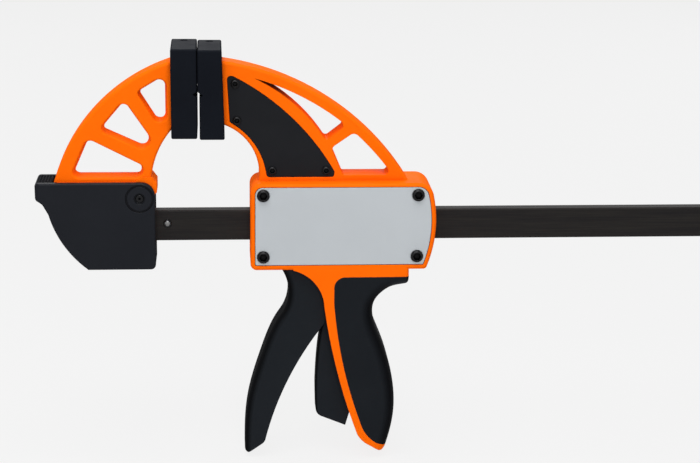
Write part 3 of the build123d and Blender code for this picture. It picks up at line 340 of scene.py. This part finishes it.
# ------------------------------------------------------------------ the object
def dress_nodes():
    """Give every node of the frame its own finish, or the one of its slot."""
    by_slot = {
        "orange_plastic": orange_plastic(),
        "black_plastic": black_plastic(),
        "pad_rubber": pad_rubber(),
        "soft_grip": soft_grip_rubber(),
        "grey_plate": grey_paint(),
        "black_plate": black_sheet(),
        "black_steel": blued_bar(),
        "black_screws": steel("black_oxide", linear(26, 26, 28), linear(16, 16, 18), 0.30, 0.7),
        "bare_steel": steel("bare_steel", linear(190, 190, 192), linear(150, 150, 154), 0.32),
        "spring_steel": steel("spring_steel", linear(150, 150, 154), linear(110, 110, 114), 0.3),
    }
    rolled = steel("rolled_spring_steel", linear(60, 60, 63), linear(34, 34, 36), 0.26)
    by_node = {"fixed_jaw_stop_pin": rolled, "end_stop_pin": rolled, "lock_lever": lever_plastic()}
    for entry in frame["record"]["subparts"]:
        piece = frame["nodes"][entry["node"]]
        finish = by_node.get(entry["node"], by_slot[entry["material_slot"]])
        if not piece.material_slots:
            piece.data.materials.append(finish)
        for slot in piece.material_slots:
            slot.material = finish


def press_springs():
    """Rigid stand-ins for the two coil springs, carried by the slider; the real springs shorten as the drive
    plates or the lever press them.
    """
    for node, joint, travel, fixed_end in PRESSED_SPRINGS:
        piece = bpy.data.objects.new(node + "_coil", frame["nodes"][node].data.copy())
        bpy.context.collection.objects.link(piece)
        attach(piece, "slider")
        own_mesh(piece)
        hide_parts(node)


# ------------------------------------------------------------------ floor, light, camera
def looking_rays(tree):
    """1 for rays that look at the background, from the camera, mirrored or through glass, and 0 for light."""
    rays = tree.nodes.new("ShaderNodeLightPath")
    seen = rays.outputs["Is Camera Ray"]
    for kind in ("Is Glossy Ray", "Is Transmission Ray"):
        either = tree.nodes.new("ShaderNodeMath")
        either.operation = "MAXIMUM"
        tree.links.new(seen, either.inputs[0])
        tree.links.new(rays.outputs[kind], either.inputs[1])
        seen = either.outputs[0]
    return seen


def mix_shaders(tree, share, first, second, target):
    """Mix two shaders by a share into a target socket."""
    mix = tree.nodes.new("ShaderNodeMixShader")
    tree.links.new(share, mix.inputs["Fac"])
    tree.links.new(first, mix.inputs[1])
    tree.links.new(second, mix.inputs[2])
    tree.links.new(mix.outputs[0], target)


def backdrop_material():
    """Pale floor that shows its own grey to the camera and keeps a faint shadow."""
    material = bpy.data.materials.new("backdrop")
    material.use_nodes = True
    tree = material.node_tree
    tree.nodes.clear()
    output = tree.nodes.new("ShaderNodeOutputMaterial")
    plain = tree.nodes.new("ShaderNodeBsdfDiffuse")
    plain.inputs["Color"].default_value = grey(FLOOR_GREY)
    shown = tree.nodes.new("ShaderNodeEmission")
    shown.inputs["Color"].default_value = grey(FLOOR_SHOWN)
    share = tree.nodes.new("ShaderNodeMath")
    share.operation = "MULTIPLY"
    share.inputs[1].default_value = FLOOR_SHOWN_SHARE
    tree.links.new(looking_rays(tree), share.inputs[0])
    mix_shaders(tree, share.outputs[0], plain.outputs[0], shown.outputs[0], output.inputs["Surface"])
    return material


def floor():
    """Wide plain floor."""
    half = FLOOR_SIZE / 2
    mesh = bpy.data.meshes.new("floor")
    corners = [(-half, -half, 0), (half, -half, 0), (half, half, 0), (-half, half, 0)]
    mesh.from_pydata(corners, [], [(0, 1, 2, 3)])
    piece = bpy.data.objects.new("floor", mesh)
    piece.location = (0, 0, FLOOR_Z)
    mesh.materials.append(backdrop_material())
    bpy.context.collection.objects.link(piece)


def world():
    """Dim grey world for light, which shows pale past the floor's far edge."""
    studio = bpy.data.worlds.new("studio")
    studio.use_nodes = True
    tree = studio.node_tree
    sky = tree.nodes["Background"]
    sky.inputs["Color"].default_value = grey(WORLD_GREY)
    sky.inputs["Strength"].default_value = WORLD_STRENGTH
    shown = tree.nodes.new("ShaderNodeBackground")
    shown.inputs["Color"].default_value = grey(SKY_SHOWN)
    surface = tree.nodes["World Output"].inputs["Surface"]
    mix_shaders(tree, looking_rays(tree), sky.outputs[0], shown.outputs[0], surface)
    bpy.context.scene.world = studio


def lamps():
    """A soft top lamp, a frontal key lamp and three weaker lamps for the back."""
    for name, place, size, power in LAMPS:
        data = bpy.data.lights.new(name, "AREA")
        data.shape = "SQUARE"
        data.size = size
        data.energy = power
        lamp = bpy.data.objects.new(name, data)
        away = Vector(place) - Vector(LAMPS_FACE)
        lamp.matrix_world = Matrix.Translation(place) @ away.to_track_quat("Z", "Y").to_matrix().to_4x4()
        bpy.context.collection.objects.link(lamp)


def camera():
    """Camera of the reference view."""
    data = bpy.data.cameras.new("camera")
    data.sensor_width = CAMERA_SENSOR
    data.sensor_fit = "HORIZONTAL"
    data.lens = CAMERA_LENS
    data.clip_start, data.clip_end = CAMERA_CLIP
    piece = bpy.data.objects.new("camera", data)
    turn = (Matrix.Rotation(-CAMERA_YAW, 4, "Z") @ Matrix.Rotation(math.pi / 2 - CAMERA_PITCH, 4, "X")
            @ Matrix.Rotation(-CAMERA_ROLL, 4, "Z"))
    piece.matrix_world = Matrix.Translation(CAMERA_PLACE) @ turn
    bpy.context.collection.objects.link(piece)
    bpy.context.scene.camera = piece


dress_nodes()
press_springs()
floor()
world()
lamps()
camera()
bpy.context.scene.view_settings.view_transform = "Standard"
